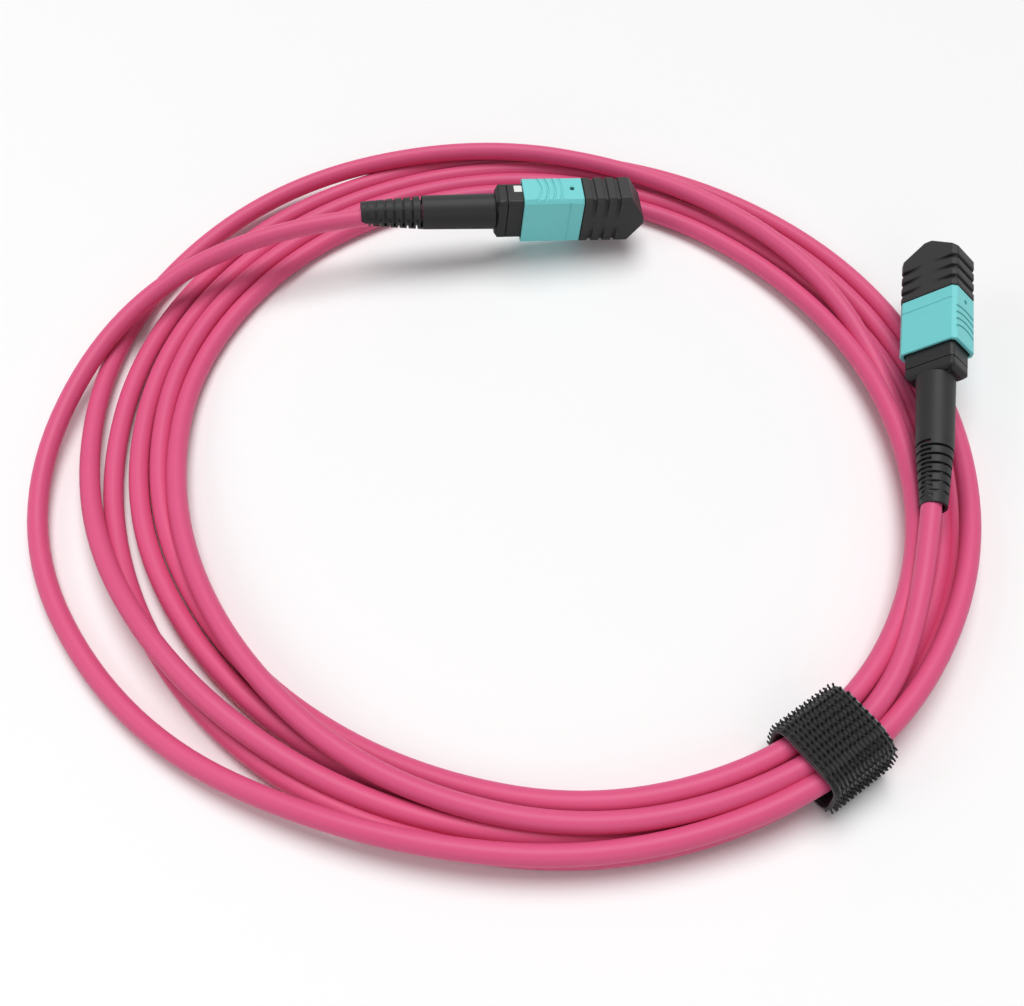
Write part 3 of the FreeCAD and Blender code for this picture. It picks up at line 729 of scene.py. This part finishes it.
@dataclass(frozen=True)
class Moulding:
    """How a moulded solid of a plug is rounded, and the body and colour slot that it belongs to.

    Faces that meet at less than flat_angle are joined, and then the outer edges longer than least_length that
    turn by more than least_angle are rounded. Angles are in degrees.
    """

    radius: float
    body: str
    slot: str
    least_length: float = 1.0 * MM
    least_angle: float = 25.0
    flat_angle: float = 0.5
    segments: int = 3
    flat_weight: int = 100

    def rounded(self, end: End, name: str) -> bpy.types.Object:
        """Makes a copy of a solid with its long outer edges rounded.

        Args:
            end: the end of the cable.
            name: the solid's name without the end.

        Returns:
            The copy, which stands in for the solid.
        """
        node = f"{end.value}_{name}"
        mesh = solid_copy(node)
        bmesh.ops.dissolve_limit(mesh, angle_limit=math.radians(self.flat_angle), verts=mesh.verts,
                                 edges=mesh.edges)
        edges = [edge for edge in mesh.edges if edge.is_manifold and edge.is_convex
                 and edge.calc_length() > self.least_length
                 and edge.calc_face_angle() > math.radians(self.least_angle)]
        bmesh.ops.bevel(mesh, geom=edges, offset=self.radius, offset_type="OFFSET", segments=self.segments,
                        profile=0.5, affect="EDGES", clamp_overlap=True, material=-1)
        piece = new_piece(node + "_moulding", mesh, NODE_FINISHES[name])
        even = piece.modifiers.new("even_shade", "WEIGHTED_NORMAL")
        even.keep_sharp = True
        even.weight = self.flat_weight
        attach(piece, self.body.format(end.value))
        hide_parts(node)
        return piece


@dataclass(frozen=True)
class Flexing:
    """A solid of the plug that is copied in place, and the body and slot that it belongs to."""

    body: str
    slot: str

    def shortened(self, end: End, name: str) -> bpy.types.Object:
        """Makes a copy of a solid, in place of it.

        Args:
            end: the end of the cable.
            name: the solid's name without the end.

        Returns:
            The copy, which stands in for the solid.
        """
        node = f"{end.value}_{name}"
        mesh = solid_copy(node)
        forward = POSES[end].forward()
        places = [forward.dot(vert.co) for vert in mesh.verts]
        piece = new_piece(node + "_flexing", mesh, NODE_FINISHES[name])
        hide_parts(node)
        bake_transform(piece)
        return piece


@dataclass
class Plug:
    """One push-on plug: its solids with their finishes, rounded where they are seen, and its white mark."""

    end: End
    boot_length: float = 28.4 * MM
    body_half_width: float = 5.3 * MM
    mark_place: tuple[float, float] = (4.85 * MM, -1.1 * MM)
    mark_size: tuple[float, float, float] = (1.7 * MM, 0.06 * MM, 1.8 * MM)

    MOULDINGS: ClassVar[dict[str, Moulding]] = {
        "coupling_sleeve": Moulding(0.4 * MM, "{}_sleeve", "sleeve"),
        "dust_cap": Moulding(0.3 * MM, "{}_cap", "cap"),
        "back_post": Moulding(0.3 * MM, "root", "plug_body"),
        "inner_housing": Moulding(0.2 * MM, "root", "plug_body"),
    }
    FLEXING: ClassVar[dict[str, Flexing]] = {
        "coupling_spring_left": Flexing("{}_sleeve", "spring_steel"),
        "coupling_spring_right": Flexing("{}_sleeve", "spring_steel"),
        "ferrule_spring": Flexing("{}_ferrule_set", "spring_steel"),
        "fibre_ribbon": Flexing("{}_ferrule_set", "ribbon"),
    }

    def mark(self) -> bpy.types.Object:
        """Prints the plain white mark on the narrow side of the body.

        Returns:
            The mark's object.
        """
        along, up = self.mark_place
        middle = Matrix.Translation((along, self.body_half_width, up))
        place = POSES[self.end].place(self.boot_length) @ middle
        mesh = bmesh.new()
        bmesh.ops.create_cube(mesh, size=1, matrix=place @ Matrix.Diagonal((*self.mark_size, 1)))
        bmesh.ops.recalc_face_normals(mesh, faces=mesh.faces)
        piece = new_piece(f"{self.end.value}_white_mark", mesh, MARK)
        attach(piece, "root")
        return piece

    def build(self) -> list[bpy.types.Object]:
        """Dresses the plug's solids.

        Returns:
            The plug's objects.
        """
        pieces = [self.mark()]
        for name, finish in NODE_FINISHES.items():
            if name in self.MOULDINGS:
                pieces.append(self.MOULDINGS[name].rounded(self.end, name))
            elif name in self.FLEXING:
                pieces.append(self.FLEXING[name].shortened(self.end, name))
            else:
                pieces.append(dress(f"{self.end.value}_{name}", finish))
        return pieces


@dataclass(frozen=True)
class SoftBox:
    """A square lamp that faces the part: where it hangs, the length of its sides and its power in watts."""

    name: str
    place: tuple[float, float, float]
    size: float
    power: float

    def hang(self) -> None:
        """Hangs the lamp."""
        light = bpy.data.lights.new(self.name, "AREA")
        light.size = self.size
        light.energy = self.power
        lamp = bpy.data.objects.new(self.name, light)
        lamp.location = self.place
        lamp.rotation_euler = (-Vector(self.place)).to_track_quat("-Z", "Y").to_euler()
        bpy.context.scene.collection.objects.link(lamp)


@dataclass
class Studio:
    """The pale floor, soft light and camera."""

    floor_size: float = 40.0
    floor_drop: float = 0.15 * MM
    camera_place: tuple[float, float, float] = (-5.488 * MM, -153.609 * MM, 204 * MM)
    camera_tilt: float = 35.0
    focal_pixels: float = 1300.0
    image_width: float = 1024.0
    sensor: float = 36.0
    nearest_seen: float = 10 * MM
    world_level: float = 0.22
    seen_level: float = 0.85
    sky_level: float = 2.25
    sky_spread: float = 42.0
    sky_middle: tuple[float, float, float] = (0.05, 0.25, 0.9)
    soft_boxes: tuple[SoftBox, ...] = (
        SoftBox("left", (-0.8, -0.2, 0.6), 0.5, 1.4),
        SoftBox("front", (0.1, -0.8, 0.5), 0.6, 1.0),
    )

    def floor(self) -> None:
        """Lays the floor just under the part."""
        mesh = bmesh.new()
        bmesh.ops.create_grid(mesh, x_segments=2, y_segments=2, size=self.floor_size / 2,
                              matrix=Matrix.Translation((0, 0, -self.floor_drop)))
        new_piece("floor", mesh, FLOOR)

    def skylight(self) -> None:
        """Lights the part and the whole floor evenly from a broad patch of sky."""
        light = bpy.data.lights.new("skylight", "SUN")
        light.energy = self.sky_level
        light.angle = math.radians(self.sky_spread)
        lamp = bpy.data.objects.new("skylight", light)
        lamp.rotation_euler = (-Vector(self.sky_middle)).to_track_quat("-Z", "Y").to_euler()
        bpy.context.scene.collection.objects.link(lamp)

    def camera(self) -> None:
        """Sets the camera at the photograph's view."""
        lens = bpy.data.cameras.new("camera")
        lens.sensor_fit = "HORIZONTAL"
        lens.sensor_width = self.sensor
        lens.lens = self.focal_pixels / self.image_width * self.sensor
        lens.clip_start = self.nearest_seen
        view = bpy.data.objects.new("camera", lens)
        view.location = self.camera_place
        view.rotation_euler = (math.radians(self.camera_tilt), 0, 0)
        bpy.context.scene.collection.objects.link(view)
        bpy.context.scene.camera = view

    def surroundings(self) -> None:
        """Makes the air round the stage: pale where it is seen or mirrored, and otherwise a dim light."""
        world = bpy.data.worlds.new("studio")
        world.use_nodes = True
        nodes, links = world.node_tree.nodes, world.node_tree.links
        background = nodes["Background"]
        socket_default(background, {"Color": (1, 1, 1, 1)})
        path = nodes.new("ShaderNodeLightPath")
        seen = path.outputs["Is Camera Ray"]
        for ray in ("Is Glossy Ray", "Is Transmission Ray"):
            either = nodes.new("ShaderNodeMath")
            either.operation = "MAXIMUM"
            links.new(seen, either.inputs[0])
            links.new(path.outputs[ray], either.inputs[1])
            seen = either.outputs["Value"]
        level = nodes.new("ShaderNodeMapRange")
        socket_default(level, {"To Min": self.world_level, "To Max": self.seen_level})
        links.new(seen, level.inputs["Value"])
        links.new(level.outputs["Result"], background.inputs["Strength"])
        bpy.context.scene.world = world

    def build(self) -> None:
        """Sets the whole stage."""
        self.floor()
        self.surroundings()
        self.skylight()
        for box in self.soft_boxes:
            box.hang()
        self.camera()
        bpy.context.scene.view_settings.view_transform = "Standard"


def main() -> None:
    """Builds the stage and all pieces of the part."""
    logging.basicConfig(level=logging.INFO, format="%(name)s %(message)s")
    Studio().build()
    plugs = {end: Plug(end).build() for end in End}
    cable = CoiledCable().build(plugs[End.SECOND])
    HookTie().build(cable)


if __name__ == "__main__":
    main()
